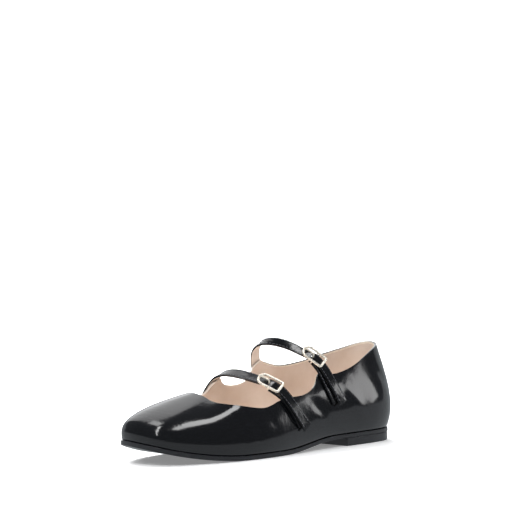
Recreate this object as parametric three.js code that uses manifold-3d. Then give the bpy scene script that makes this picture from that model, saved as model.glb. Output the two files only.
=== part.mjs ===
// A left mary jane flat with a chiselled square toe, two slim buckled straps and a low block heel.
// Millimetres. +X runs from heel to toe, +Y to the outer side of the foot, +Z up.
// Everything is laid out from the back of the heel; at the end the group is moved, so that its
// origin is the middle of the shoe's box, on the floor.
import * as THREE from "three";
import { mergeVertices } from "three/addons/utils/BufferGeometryUtils.js";
import Module from "manifold-3d";

const wasm = await Module();
wasm.setup();

// ---- driving dimensions ----
const GAP = 0.3; // between pieces that touch
const SLACK = 0.15; // a little more under a flat band that lies on a curved wall

const WALL = 1.8; // upper leather and lining together
const HEEL_RISE = 6.9; // heel block height at its back
const HEEL_FALL = 0.008; // how much lower the seat gets, per millimetre forwards
const HEEL_LENGTH = 65;
const HEEL_INSET = 0.5; // heel block inside the outsole's edge
const ARCH_START = 78;
const ARCH_LENGTH = 60; // the waist comes down to the floor over this length
const SPRING_START = 175;
const SPRING_LENGTH = 72;
const SPRING_RISE = 12.6; // toe spring at the tip
const SPRING_CURVE = 1.75;
const SPRING_TWIST = 0.006; // the inner toe corner springs a little more than the outer one

const SEAT_SOLE = 2.8; // outsole thickness under the heel and waist
const TREAD_SOLE = 3.4; // and under the ball and toes
const TREAD_START = 95;
const TREAD_LENGTH = 60; // the outsole thickens over this length
const SOLE_EDGE = 0.9; // how far the outsole stands out past the upper

const INSOLE = 2.4; // sock, padding and board together
const INSOLE_INSET = WALL + 0.6; // inside the feather line

const STRAP_WIDTH = 8.6;
const STRAP = 1.5; // strap thickness
const ANCHOR_WIDTH = 8.6;
const ANCHOR = 1.1; // thickness of the short strap that holds the buckle
const BAND_STEPS = 44; // sections along a strap
const ANCHOR_STEPS = 16;

const BUCKLE_LENGTH = 19.5;
const BUCKLE_WIDTH = 12.8;
const WIRE = 1.7; // thickness of the buckle's frame
const BAR_OFFSET = 1.1; // from the middle of the frame to its bar, towards the square end
const ROUND_CORNER = 5; // corner radius at the rounded end
const SQUARE_CORNER = 1.4; // and at the square end
const BAR_RADIUS = 0.6;
const STRAP_HUMP = 1.0; // how far the strap rises over the buckle's bar
const PRONG_RADIUS = 0.5;
const HOLE_RADIUS = 1.0;
const HOLE_BEFORE_BAR = 1.8; // from the bar to the strap hole

const COLUMN_PITCH = 4.6; // widest spacing of the upper's columns
const ROWS = 12; // rows of the upper's wall from the feather line to its edge
const SOLE_STATIONS = 44;
const HEEL_STATIONS = 16;
const SOLE_LANES = 5; // points across the sole

const PATENT = { color: 0x1c1e22, roughness: 0.16 };
const RUBBER = { color: 0x24262a, roughness: 0.45 };
const TAN_LINING = { color: 0xd8bba5, roughness: 0.7 };
const GOLD = { color: 0xe6d6b4, roughness: 0.2, metalness: 1 };

// ---- the last ----
// One row for each rib of the last, from the back of the heel by the outer side to the toe and back
// by the inner side. x, y: foot of the rib on the feather line. cx, cy, cz: its crest, above the
// topline. o1..o3, u1..u3: three knees of the rib, outwards from its foot and up from it.
const RIBS = [
  // name, x, y, cx, cy, cz, o1, u1, o2, u2, o3, u3
  ["heel back", -0.5, 0, 11, 0, 94, 5, 9, 5, 30, -4, 54],
  ["heel outer", 5, 19, 16, 10, 94, 4.5, 9, 4.5, 30, -3, 52],
  ["seat outer", 26, 27.5, 30, 13, 92, 4, 9, 4.5, 28, -3, 50],
  ["quarter outer", 55, 29, 58, 13, 90, 3.5, 9, 5, 26, -4, 48],
  ["waist outer", 88, 31, 90, 8, 88, 3, 8, 5, 24, -5, 52],
  ["instep outer", 120, 35.5, 122, 0, 80, 3, 8, 3, 26, -14, 66],
  ["ball outer", 152, 41, 150, 0, 61, 3, 7, 1, 24, -18, 54],
  ["vamp outer", 186, 40.5, 168, 2, 51.5, 2.5, 7, 0, 21, -18, 40],
  ["toe side outer", 214, 34, 166, 2, 51.5, 2, 7, 0, 18, -22, 30],
  ["toe corner a", 232, 27.5, 166, 1, 51.5, 1.5, 7, 0, 16, -29, 27],
  ["toe corner b", 240.5, 21, 166, 0.5, 51.5, 1.5, 7, 0.5, 15.5, -32, 26],
  ["toe corner c", 243.5, 15.5, 166, 0, 51.5, 1.5, 7, 1, 15.5, -34, 26],
  ["toe front", 247, -2, 166, -2, 51.5, 1.5, 7, 1, 16.5, -35, 27],
  ["toe corner d", 245.3, -16.5, 166, -3.5, 51.5, 1.5, 7, 1, 16, -34, 27],
  ["toe corner e", 241.3, -23, 166, -4.5, 51.5, 1.5, 7, 0.5, 16.5, -32, 28],
  ["toe corner f", 232, -30, 166, -5, 51.5, 1.5, 7, 0, 17.5, -29, 30],
  ["toe side inner", 214, -37.5, 166, -6, 51.5, 2, 8, 0, 21, -24, 33],
  ["ball inner", 184, -42, 164, -4, 52.5, 2.5, 8, 0, 25, -18, 44],
  ["vamp inner", 152, -37.5, 150, -2, 61, 4, 9, 5, 28, -14, 56],
  ["instep inner", 120, -28, 122, -1, 80, 5, 11, 9, 32, -8, 66],
  ["waist inner", 88, -22.5, 90, -8, 88, 5, 12, 9, 30, 0, 54],
  ["quarter inner", 55, -24, 58, -12, 90, 4, 10, 6, 28, 0, 50],
  ["seat inner", 26, -26.5, 30, -12, 92, 4, 9, 5, 28, -2, 50],
  ["heel inner", 5, -19, 16, -10, 94, 4.5, 9, 4.5, 30, -3, 52],
];

// ---- the upper's edge ----
// Each stretch of the topline runs between two corners. round: ribs passed since the heel; rise: the
// share of the rib's height; root: where the wall's column under that point starts on the feather.
const TOPLINE = [
  {
    edge: "outer collar",
    // round, rise, root
    rows: [
      [0, 0.893, 0],
      [0.88, 0.886, 0.88],
      [1.5, 0.877, 1.5],
      [2.12, 0.85, 2.12],
      [2.94, 0.787, 2.94],
      [3.5, 0.752, 3.5],
      [3.85, 0.75, 3.85],
      [4.08, 0.757, 4.08],
    ],
  },
  {
    edge: "outer scoop, throat and inner vamp",
    rows: [
      [4.08, 0.757, 4.08],
      [4.19, 0.7, 4.19],
      [4.38, 0.632, 4.38],
      [4.75, 0.582, 4.75],
      [5.19, 0.582, 5.19],
      [5.6, 0.586, 5.6],
      [5.94, 0.572, 5.94],
      [6.2, 0.588, 6.2],
      [6.48, 0.635, 6.48],
      [6.8, 0.7, 6.8],
      [7.2, 0.772, 7.2],
      [7.84, 0.843, 7.84],
      [9.1, 0.893, 9.1],
      [11.74, 0.907, 11.74],
      [13.482, 0.903, 13.482],
      [15.58, 0.873, 15.58],
      [16.42, 0.82, 16.42],
      [16.94, 0.752, 16.94],
      [17.34, 0.683, 17.34],
      [17.62, 0.643, 17.62],
      [17.8, 0.632, 17.8],
      [17.92, 0.655, 17.92],
    ],
  },
  {
    edge: "front tab, toe side",
    rows: [
      [17.92, 0.655, 17.92],
      [17.94, 0.7, 17.97],
      [17.94, 0.755, 18.02],
    ],
  },
  {
    edge: "front tab, end",
    rows: [
      [17.94, 0.755, 18.02],
      [18.08, 0.762, 18.1],
      [18.22, 0.765, 18.2],
    ],
  },
  {
    edge: "inner scoop between the tabs",
    rows: [
      [18.22, 0.765, 18.2],
      [18.36, 0.7, 18.36],
      [18.5, 0.663, 18.5],
      [18.75, 0.632, 18.75],
      [18.95, 0.632, 18.95],
      [19.11, 0.648, 19.11],
      [19.19, 0.69, 19.19],
    ],
  },
  {
    edge: "rear tab, toe side",
    rows: [
      [19.19, 0.69, 19.19],
      [19.2, 0.74, 19.24],
      [19.2, 0.795, 19.29],
    ],
  },
  {
    edge: "rear tab, end",
    rows: [
      [19.2, 0.795, 19.29],
      [19.27, 0.815, 19.34],
      [19.34, 0.832, 19.4],
    ],
  },
  {
    edge: "inner collar",
    rows: [
      [19.34, 0.832, 19.4],
      [19.43, 0.818, 19.46],
      [19.6, 0.802, 19.61],
      [19.81, 0.787, 19.81],
      [20.06, 0.777, 20.06],
      [20.56, 0.797, 20.56],
      [21.56, 0.848, 21.56],
      [22.69, 0.875, 22.69],
      [23.31, 0.886, 23.31],
      [24, 0.893, 24],
    ],
  },
];

// ---- the straps ----
// Each strap is sewn outside an inner tab, crosses the instep in a free arch, goes through its buckle
// and ends in a squared tail on the outer quarter. round and rise as above; layer says what it lies on.
// The arch is given in the shoe's own millimetres, with how far its face leans to the toe and outwards.
// The anchor is the short strap that comes up from the quarter and ends under the buckle's bar.
const STRAPS = [
  {
    name: "front",
    // round, rise, layer
    root: [
      [18.05, 0.56, "wall"],
      [18.08, 0.675, "wall"],
      [18.1, 0.775, "wall"],
    ],
    // x, y, z, lean to the toe, lean outwards
    arch: [
      [148.2, -16.6, 58.2, 0.45, -0.4],
      [148, -8.1, 59, 0.58, -0.08],
      [147.1, 0.6, 58.3, 0.6, 0.12],
      [145.9, 9.2, 56.7, 0.52, 0.34],
      [144.4, 18.6, 54.5, 0.36, 0.66],
    ],
    outer: [
      [5.68, 0.722, "buckle"],
      [5.47, 0.638, "edge"],
      [5.3, 0.53, "anchor"],
      [5.12, 0.4, "anchor"],
      [4.91, 0.262, "anchor"],
    ],
    // round, rise
    anchor: [
      [5.02, 0.3],
      [5.16, 0.42],
      [5.3, 0.53],
      [5.47, 0.62],
      [5.67, 0.728],
    ],
  },
  {
    name: "rear",
    root: [
      [19.52, 0.64, "wall"],
      [19.44, 0.72, "wall"],
      [19.29, 0.8, "wall"],
    ],
    arch: [
      [113.4, -18.8, 71.8, 0.25, -2],
      [113.6, -15.4, 77, 0.5, -0.9],
      [112, -10.8, 80, 0.68, -0.2],
      [108.6, -4.8, 80.5, 0.72, 0.14],
      [105, 0.9, 79.3, 0.68, 0.34],
      [101, 6.9, 76.9, 0.5, 0.58],
      [96, 14.6, 72.4, 0.25, 0.95],
    ],
    outer: [
      [4.05, 0.848, "buckle"],
      [3.92, 0.79, "edge"],
      [3.82, 0.69, "anchor"],
      [3.71, 0.575, "anchor"],
      [3.61, 0.455, "anchor"],
    ],
    anchor: [
      [3.76, 0.475],
      [3.85, 0.58],
      [3.93, 0.69],
      [3.98, 0.775],
      [4.04, 0.853],
    ],
  },
];

// ---- the last as a surface ----
const COUNT = RIBS.length;
const UP = new THREE.Vector3(0, 0, 1);
const SMALL = 1e-3; // step for slopes, in ribs and in rise
const mix = (a, b, t) => a + (b - a) * t;
const clamp01 = (t) => Math.min(1, Math.max(0, t));
const ease = (t) => clamp01(t) ** 2 * (3 - 2 * clamp01(t));

// Height of the outsole's underside over the floor.
function underside(x, y) {
  const heel = HEEL_RISE - HEEL_FALL * Math.max(0, x);
  const arch = heel * (1 - ease((x - ARCH_START) / ARCH_LENGTH));
  if (x <= SPRING_START) return arch;
  const spring = SPRING_RISE * ((x - SPRING_START) / SPRING_LENGTH) ** SPRING_CURVE;
  return spring * (1 - SPRING_TWIST * y);
}

// Height of the outsole's upper face, which the feather line follows.
function soleTop(x, y) {
  return underside(x, y) + mix(SEAT_SOLE, TREAD_SOLE, ease((x - TREAD_START) / TREAD_LENGTH));
}

// The rib's five control points: foot, three knees and crest.
function ribPoints([, x, y, cx, cy, cz, o1, u1, o2, u2, o3, u3]) {
  const foot = new THREE.Vector3(x, y, soleTop(x, y));
  const out = new THREE.Vector3(x - cx, y - cy, 0).normalize();
  const knee = (o, u) => foot.clone().addScaledVector(out, o).addScaledVector(UP, u);
  return [foot, knee(o1, u1), knee(o2, u2), knee(o3, u3), new THREE.Vector3(cx, cy, cz)];
}
const NET = RIBS.map(ribPoints);

// Shares of four neighbouring ribs: a closed uniform cubic B-spline round the last.
function ribShares(round) {
  const first = Math.floor(round);
  const t = round - first;
  const shares = [
    (1 - t) ** 3,
    3 * t ** 3 - 6 * t ** 2 + 4,
    -3 * t ** 3 + 3 * t ** 2 + 3 * t + 1,
    t ** 3,
  ];
  return shares.map((share, k) => [(first + k - 1 + COUNT) % COUNT, share / 6]);
}

// Shares of a rib's five points: a clamped cubic B-spline with one knot halfway up.
function kneeShares(rise) {
  const fromCrest = rise > 0.5;
  const u = 2 * (fromCrest ? 1 - clamp01(rise) : clamp01(rise));
  const bezier = [(1 - u) ** 3, 3 * u * (1 - u) ** 2, 3 * u ** 2 * (1 - u), u ** 3];
  const shares = [
    bezier[0],
    bezier[1] + bezier[2] / 2 + bezier[3] / 4,
    bezier[2] / 2 + bezier[3] / 2,
    bezier[3] / 4,
    0,
  ];
  return fromCrest ? shares.reverse() : shares;
}

// A point of the last: round goes by the outer side to the toe and back, rise from feather to crest.
function lastPoint(round, rise) {
  const shares = kneeShares(rise);
  const point = new THREE.Vector3();
  for (const [rib, part] of ribShares(((round % COUNT) + COUNT) % COUNT))
    shares.forEach((share, k) => point.addScaledVector(NET[rib][k], part * share));
  return point;
}

function lastNormal(round, rise) {
  const low = clamp01(rise - SMALL);
  const high = clamp01(rise + SMALL);
  const alongRound = lastPoint(round + SMALL, rise).sub(lastPoint(round - SMALL, rise));
  const alongRise = lastPoint(round, high).sub(lastPoint(round, low));
  return alongRise.cross(alongRound).normalize();
}

// ---- making solids ----
// A closed geometry from points and faces of three or four corners, with its faces pointing out.
function solid(points, faces) {
  const triangles = [];
  for (const face of faces) {
    for (let k = 2; k < face.length; k++) triangles.push([face[0], face[k - 1], face[k]]);
  }
  const volume = triangles.reduce((sum, [a, b, c]) => {
    return sum + points[a].dot(points[b].clone().cross(points[c]));
  }, 0);
  const index = triangles.flatMap(([a, b, c]) => (volume > 0 ? [a, b, c] : [a, c, b]));
  const geometry = new THREE.BufferGeometry();
  geometry.setAttribute("position", new THREE.Float32BufferAttribute(points.flatMap((p) => p.toArray()), 3));
  geometry.setIndex(index);
  return geometry;
}

// A solid through rings of equally many points, closed at both ends by strips across the ring.
function loft(rings) {
  const size = rings[0].length;
  const faces = [];
  for (let r = 1; r < rings.length; r++) {
    for (let k = 0; k < size; k++) {
      const next = (k + 1) % size;
      faces.push([(r - 1) * size + k, (r - 1) * size + next, r * size + next, r * size + k]);
    }
  }
  for (let k = 0; k < size / 2 - 1; k++) {
    const strip = [k, k + 1, size - 2 - k, size - 1 - k];
    faces.push(strip.slice().reverse());
    faces.push(strip.map((corner) => (rings.length - 1) * size + corner));
  }
  return solid(rings.flat(), faces);
}

function toManifold(geometry) {
  const bare = geometry.clone();
  bare.deleteAttribute("normal");
  bare.deleteAttribute("uv");
  const merged = mergeVertices(bare.index ? bare.toNonIndexed() : bare);
  return new wasm.Manifold(
    new wasm.Mesh({
      numProp: 3,
      vertProperties: new Float32Array(merged.attributes.position.array),
      triVerts: new Uint32Array(merged.index.array),
    }),
  );
}

function fromManifold(manifold) {
  const mesh = manifold.getMesh();
  const geometry = new THREE.BufferGeometry();
  geometry.setAttribute("position", new THREE.BufferAttribute(mesh.vertProperties.slice(), 3));
  geometry.setIndex([...mesh.triVerts]);
  return geometry;
}

// ---- sole, heel and insole ----
// A point of the feather line moved outwards in plan.
function outline(round, outwards) {
  const foot = lastPoint(round, 0);
  const along = lastPoint(round + SMALL, 0).sub(lastPoint(round - SMALL, 0)).setZ(0).normalize();
  return foot.addScaledVector(new THREE.Vector3(-along.y, along.x, 0), outwards);
}

const FIRST_RUNG = 0.12;
const LAST_RUNG = COUNT / 2 - 0.2;

// A slab inside the feather line: rungs join the outer and the inner side, from the heel to the
// rung at lastRound.
function slab(outwards, bottom, top, lastRound = LAST_RUNG, stations = SOLE_STATIONS) {
  const rings = [];
  for (let s = 0; s <= stations; s++) {
    const round = mix(FIRST_RUNG, lastRound, s / stations);
    const outer = outline(round, outwards);
    const inner = outline(COUNT - round, outwards);
    const lanes = [...Array(SOLE_LANES).keys()].map((k) => {
      return outer.clone().lerp(inner, k / (SOLE_LANES - 1));
    });
    const upper = lanes.map((p) => p.clone().setZ(top(p.x, p.y)));
    const lower = lanes.map((p) => p.clone().setZ(bottom(p.x, p.y)));
    rings.push([...upper, ...lower.reverse()]);
  }
  return loft(rings);
}

const makeOutsole = () => slab(SOLE_EDGE, underside, soleTop);

function makeInsole() {
  const bottom = (x, y) => soleTop(x, y) + GAP;
  const top = (x, y) => bottom(x, y) + INSOLE;
  return slab(-INSOLE_INSET, bottom, top);
}

// The rung whose outer end has this x.
function rungAt(x) {
  let low = 0;
  let high = COUNT / 2;
  while (high - low > SMALL) {
    const middle = (low + high) / 2;
    if (lastPoint(middle, 0).x < x) low = middle;
    else high = middle;
  }
  return low;
}

function makeHeelBlock() {
  const top = (x, y) => underside(x, y) - GAP;
  return slab(SOLE_EDGE - HEEL_INSET, () => 0, top, rungAt(HEEL_LENGTH), HEEL_STATIONS);
}

// ---- the upper ----
// The wall's column under a topline point, from its root on the feather line to the edge.
function columnPlace([round, rise, root], share) {
  return [mix(root, round, share ** 3), rise * share];
}

function columnDistance(a, b) {
  const gaps = [0, 0.25, 0.5, 0.75, 1].map((share) => {
    return lastPoint(...columnPlace(a, share)).distanceTo(lastPoint(...columnPlace(b, share)));
  });
  return Math.max(...gaps);
}

// Places columns along the topline so that no two neighbours are further apart than the pitch.
function toplineColumns() {
  const fine = 40; // samples between two rows of the table, before spacing
  return TOPLINE.flatMap(({ rows }) => {
    const curve = new THREE.CatmullRomCurve3(rows.map((row) => new THREE.Vector3(...row)));
    const samples = curve.getPoints(fine * (rows.length - 1)).map((p) => p.toArray());
    const reached = [0];
    for (let k = 1; k < samples.length; k++)
      reached.push(reached[k - 1] + columnDistance(samples[k - 1], samples[k]));
    const total = reached[reached.length - 1];
    const pieces = Math.max(2, Math.ceil(total / COLUMN_PITCH));
    return [...Array(pieces).keys()].map((piece) => {
      return samples[reached.findIndex((length) => length >= (total * piece) / pieces)];
    });
  });
}

// Both skins of the wall, joined at the edge and round the feather line. Each outer four-cornered
// patch is split along its longer diagonal.
function makeUpper() {
  const columns = toplineColumns();
  const outer = [];
  const inner = [];
  for (const column of columns) {
    for (let r = 0; r <= ROWS; r++) {
      const place = columnPlace(column, r / ROWS);
      const point = lastPoint(...place);
      const inside = point.clone().addScaledVector(lastNormal(...place), -WALL);
      if (r === 0) {
        point.z = soleTop(point.x, point.y) + GAP;
        inside.z = soleTop(inside.x, inside.y) + GAP;
      }
      outer.push(point);
      inner.push(inside);
    }
  }
  const points = [...outer, ...inner];
  const stride = ROWS + 1;
  const faces = [];
  const patch = (a, b, c, d) => {
    const longer = points[a].distanceTo(points[c]) >= points[b].distanceTo(points[d]);
    if (longer) faces.push([a, b, c], [a, c, d]);
    else faces.push([a, b, d], [b, c, d]);
  };
  for (let k = 0; k < columns.length; k++) {
    const here = k * stride;
    const next = ((k + 1) % columns.length) * stride;
    for (let r = 0; r < ROWS; r++) {
      patch(here + r, next + r, next + r + 1, here + r + 1);
      patch(outer.length + here + r + 1, outer.length + next + r + 1, outer.length + next + r, outer.length + here + r);
    }
    patch(here + ROWS, next + ROWS, outer.length + next + ROWS, outer.length + here + ROWS);
    patch(outer.length + here, outer.length + next, next, here);
  }
  return solid(points, faces);
}

// ---- straps, anchors and buckles ----
// Heights of a band's middle over the last, by what it lies on.
const ON_WALL = GAP + SLACK + STRAP / 2;
const ON_ANCHOR = GAP + SLACK + ANCHOR + GAP + SLACK + STRAP / 2;
const ON_FOOT = 0.2; // over the open instep, close to where the foot would be
const ON_CREST = 1.9; // the rear strap stands a little higher over the top of the instep
const IN_BUCKLE = 1.3; // between the open instep and the quarter's edge
const OVER_EDGE = 2.5; // where the strap and the anchor leave the quarter
const LAYERS = {
  wall: ON_WALL,
  foot: ON_FOOT,
  crest: ON_CREST,
  buckle: IN_BUCKLE,
  edge: OVER_EDGE,
  anchor: ON_ANCHOR,
};
const ANCHOR_OVER_EDGE = OVER_EDGE - STRAP / 2 - GAP - SLACK - ANCHOR / 2;
const ANCHOR_ON_WALL = GAP + SLACK + ANCHOR / 2;
const BAR_UNDER_STRAP = STRAP / 2 + GAP + BAR_RADIUS;
const ANCHOR_UNDER_BAR = BAR_RADIUS + GAP + 2 * SLACK + ANCHOR / 2;

// A place at some height over the last, which faces away from it.
function onLast(round, rise, lift) {
  const up = lastNormal(round, rise);
  return { point: lastPoint(round, rise).addScaledVector(up, lift), up };
}

// A place in the free arch over the instep.
function inArch([x, y, z, toToe, outwards]) {
  return { point: new THREE.Vector3(x, y, z), up: new THREE.Vector3(toToe, outwards, 1).normalize() };
}

// A smooth path through places that also knows which way is up from the foot.
function smoothPath(places) {
  const line = new THREE.CatmullRomCurve3(places.map(({ point }) => point));
  const ups = new THREE.CatmullRomCurve3(places.map(({ up }) => up));
  return (share) => {
    const along = line.getTangent(share);
    const up = ups.getPoint(share);
    up.addScaledVector(along, -up.dot(along)).normalize();
    return { point: line.getPoint(share), along, up, across: along.clone().cross(up) };
  };
}

// A flat band along a path, with a rectangular section.
function band(path, width, thickness, steps) {
  const rings = [];
  for (let s = 0; s <= steps; s++) {
    const { point, up, across } = path(s / steps);
    const corner = (side, layer) => {
      return point.clone().addScaledVector(across, (side * width) / 2).addScaledVector(up, (layer * thickness) / 2);
    };
    rings.push([corner(-1, 1), corner(1, 1), corner(1, -1), corner(-1, -1)]);
  }
  return loft(rings);
}

// A round rod along a curve.
function rod(curve, radius, steps) {
  const sides = 8;
  const frames = curve.computeFrenetFrames(steps);
  const rings = frames.normals.map((normal, s) => {
    return [...Array(sides).keys()].map((k) => {
      const angle = (2 * Math.PI * k) / sides;
      return curve
        .getPointAt(s / steps)
        .addScaledVector(normal, radius * Math.cos(angle))
        .addScaledVector(frames.binormals[s], radius * Math.sin(angle));
    });
  });
  return loft(rings);
}

// The strap's places from the inner tab to the tail; the first outer one is in the buckle.
function strapPlaces({ root, arch, outer }, hump) {
  const resting = ([round, rise, layer], k) => onLast(round, rise, LAYERS[layer] + (k === 0 ? hump : 0));
  return [...root.map((row) => resting(row, -1)), ...arch.map(inArch), ...outer.map(resting)];
}

// The placing of a buckle: x along the strap towards its tail, y across it, z away from the foot.
function bucklePlacing(strap) {
  const places = strapPlaces(strap, 0);
  const buckleRow = strap.root.length + strap.arch.length;
  const { point, along, up, across } = smoothPath(places)(buckleRow / (places.length - 1));
  return new THREE.Matrix4().makeBasis(along, across.negate(), up).setPosition(point);
}

// Heights in the buckle's own frame, from the resting middle of the strap.
const FRAME_HEIGHT = STRAP / 2 + GAP + WIRE / 2 + 4 * SLACK;
const BAR_HEIGHT = STRAP_HUMP - BAR_UNDER_STRAP;

function roundedOutline(length, width, roundCorner, squareCorner) {
  const shape = new THREE.Shape();
  const x = length / 2;
  const y = width / 2;
  shape.moveTo(-x + roundCorner, -y);
  shape.lineTo(x - squareCorner, -y);
  shape.absarc(x - squareCorner, -y + squareCorner, squareCorner, -Math.PI / 2, 0);
  shape.absarc(x - squareCorner, y - squareCorner, squareCorner, 0, Math.PI / 2);
  shape.absarc(-x + roundCorner, y - roundCorner, roundCorner, Math.PI / 2, Math.PI);
  shape.absarc(-x + roundCorner, -y + roundCorner, roundCorner, Math.PI, 1.5 * Math.PI);
  return shape;
}

// The frame, its two lugs and the bar between them, as one casting.
function makeBuckle() {
  const shape = roundedOutline(BUCKLE_LENGTH, BUCKLE_WIDTH, ROUND_CORNER, SQUARE_CORNER);
  const window = roundedOutline(
    BUCKLE_LENGTH - 2 * WIRE,
    BUCKLE_WIDTH - 2 * WIRE,
    ROUND_CORNER - WIRE,
    SQUARE_CORNER - WIRE / 2,
  );
  shape.holes.push(window);
  const frame = new THREE.ExtrudeGeometry(shape, { depth: WIRE, bevelEnabled: false, curveSegments: 5 });
  frame.translate(-BAR_OFFSET, 0, FRAME_HEIGHT - WIRE / 2);
  let casting = toManifold(frame);
  const railY = (BUCKLE_WIDTH - WIRE) / 2;
  const lugBottom = BAR_HEIGHT - BAR_RADIUS;
  const lugTop = FRAME_HEIGHT;
  for (const side of [-1, 1]) {
    const lug = new THREE.BoxGeometry(2.4 * BAR_RADIUS, WIRE * 0.9, lugTop - lugBottom);
    lug.translate(0, side * railY, (lugTop + lugBottom) / 2);
    casting = casting.add(toManifold(lug));
  }
  const bar = new THREE.CylinderGeometry(BAR_RADIUS, BAR_RADIUS, 2 * railY, 10);
  bar.translate(0, 0, BAR_HEIGHT);
  return fromManifold(casting.add(toManifold(bar)));
}

// The prong leaves the bar, comes up through the strap's hole and rests on the rounded end.
function makeProng() {
  const top = FRAME_HEIGHT + WIRE / 2 + GAP + PRONG_RADIUS;
  const tip = -BUCKLE_LENGTH / 2 - BAR_OFFSET - 0.2;
  const path = new THREE.CatmullRomCurve3([
    new THREE.Vector3(-HOLE_BEFORE_BAR, 0, BAR_HEIGHT),
    new THREE.Vector3(-HOLE_BEFORE_BAR, 0, BAR_HEIGHT + 1.4),
    new THREE.Vector3(-HOLE_BEFORE_BAR - 0.3, 0, top - 0.5),
    new THREE.Vector3(-HOLE_BEFORE_BAR - 1.6, 0, top + 0.1),
    new THREE.Vector3(tip / 2 - 1, 0, top + 0.1),
    new THREE.Vector3(tip, 0, top),
  ]);
  return rod(path, PRONG_RADIUS, 14);
}

// The strap rises over the buckle's bar and has one hole, for the prong.
function makeStrap(strap) {
  const path = smoothPath(strapPlaces(strap, STRAP_HUMP));
  const leather = toManifold(band(path, STRAP_WIDTH, STRAP, BAND_STEPS));
  const hole = new THREE.CylinderGeometry(HOLE_RADIUS, HOLE_RADIUS, 6 * STRAP, 12);
  hole.rotateX(Math.PI / 2);
  hole.translate(-HOLE_BEFORE_BAR, 0, STRAP_HUMP);
  hole.applyMatrix4(bucklePlacing(strap));
  return fromManifold(leather.subtract(toManifold(hole)));
}

// The anchor lies on the quarter and ends under the bar.
function makeAnchor({ anchor }) {
  const underBar = IN_BUCKLE + BAR_HEIGHT - ANCHOR_UNDER_BAR;
  const lifts = [ANCHOR_ON_WALL, ANCHOR_ON_WALL, ANCHOR_ON_WALL, ANCHOR_OVER_EDGE, underBar];
  const places = anchor.map(([round, rise], k) => onLast(round, rise, lifts[k]));
  return band(smoothPath(places), ANCHOR_WIDTH, ANCHOR, ANCHOR_STEPS);
}

// ---- assembly ----
function mesh(name, geometry, finish) {
  const piece = new THREE.Mesh(geometry, new THREE.MeshStandardMaterial(finish));
  piece.name = name;
  return piece;
}

const shoe = new THREE.Group();
shoe.add(mesh("outsole", makeOutsole(), RUBBER));
shoe.add(mesh("heel_block", makeHeelBlock(), RUBBER));
shoe.add(mesh("insole", makeInsole(), TAN_LINING));
shoe.add(mesh("upper", makeUpper(), PATENT));
for (const strap of STRAPS) {
  shoe.add(mesh(`strap_${strap.name}`, makeStrap(strap), PATENT));
  shoe.add(mesh(`anchor_${strap.name}`, makeAnchor(strap), PATENT));
  const hardware = new THREE.Group();
  hardware.add(mesh(`buckle_${strap.name}`, makeBuckle(), GOLD));
  hardware.add(mesh(`prong_${strap.name}`, makeProng(), GOLD));
  hardware.applyMatrix4(bucklePlacing(strap));
  shoe.add(hardware);
}

// The origin goes to the middle of the shoe's box, on the floor.
const box = new THREE.Box3().setFromObject(shoe, true);
const middle = box.getCenter(new THREE.Vector3());
shoe.position.set(-middle.x, -middle.y, -box.min.z);
shoe.updateMatrixWorld(true);

export default shoe;
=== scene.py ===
"""Looks of a left mary jane flat: crinkled black patent leather, tan lining, pale gold buckles.

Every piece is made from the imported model, in metres, in the model's own frame:
+X from heel to toe, +Y to the outer side of the foot, +Z up, the floor at zero.
"""

import logging
import math
from dataclasses import dataclass, field
from enum import Enum, IntEnum
from typing import ClassVar, Iterable, Union

import bmesh
import bpy
from bmesh.types import BMEdge, BMesh, BMFace, BMVert
from bpy.types import Material, Mesh, Node, NodeSocket, NodeTree, Object
from mathutils import Euler, Matrix, Vector
from mathutils.kdtree import KDTree


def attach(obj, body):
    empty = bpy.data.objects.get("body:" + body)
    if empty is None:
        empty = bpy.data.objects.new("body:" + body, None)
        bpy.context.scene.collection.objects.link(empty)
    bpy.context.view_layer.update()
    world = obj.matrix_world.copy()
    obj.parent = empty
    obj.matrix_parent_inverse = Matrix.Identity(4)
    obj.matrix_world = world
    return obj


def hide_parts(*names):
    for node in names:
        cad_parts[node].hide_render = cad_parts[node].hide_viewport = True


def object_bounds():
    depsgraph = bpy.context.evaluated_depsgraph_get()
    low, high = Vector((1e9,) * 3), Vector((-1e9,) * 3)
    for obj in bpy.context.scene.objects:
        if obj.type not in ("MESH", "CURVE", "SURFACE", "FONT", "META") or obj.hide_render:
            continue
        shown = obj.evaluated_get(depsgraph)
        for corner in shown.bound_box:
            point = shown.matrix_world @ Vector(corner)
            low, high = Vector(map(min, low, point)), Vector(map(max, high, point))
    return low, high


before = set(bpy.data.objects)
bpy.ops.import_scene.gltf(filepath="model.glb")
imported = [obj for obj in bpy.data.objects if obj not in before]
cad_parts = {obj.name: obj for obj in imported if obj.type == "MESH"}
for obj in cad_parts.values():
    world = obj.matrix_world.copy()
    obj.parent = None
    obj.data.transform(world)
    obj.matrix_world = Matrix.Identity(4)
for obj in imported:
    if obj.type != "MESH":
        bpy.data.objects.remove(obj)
CAD_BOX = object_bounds()

LOG = logging.getLogger("mary_jane")
MM = 0.001
BODY = "root"
MERGE_DISTANCE = 0.002 * MM
SHARP_ANGLE = math.radians(50)
FLAT_ANGLE = math.radians(38)
CORNER_ANGLE = math.radians(55)
SAME_LENGTH = 1.0001  # two edges count as equally long within this ratio
NEARLY_PARALLEL = 0.999  # cosines between a face's normal and a direction
PARALLEL = 0.9999
NOISE_LOW, NOISE_HIGH = 0.3, 0.7  # nearly all of a noise texture's values lie between these

Setting = Union[float, tuple, NodeSocket]


class Skin(IntEnum):
    """The finishes of a leather piece, in the order of its materials."""

    PATENT = 0
    LINING = 1
    CUT_EDGE = 2


class Row(Enum):
    """The two straps, each with its anchor and buckle."""

    FRONT = "front"
    REAR = "rear"


# ---- small tools


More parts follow.
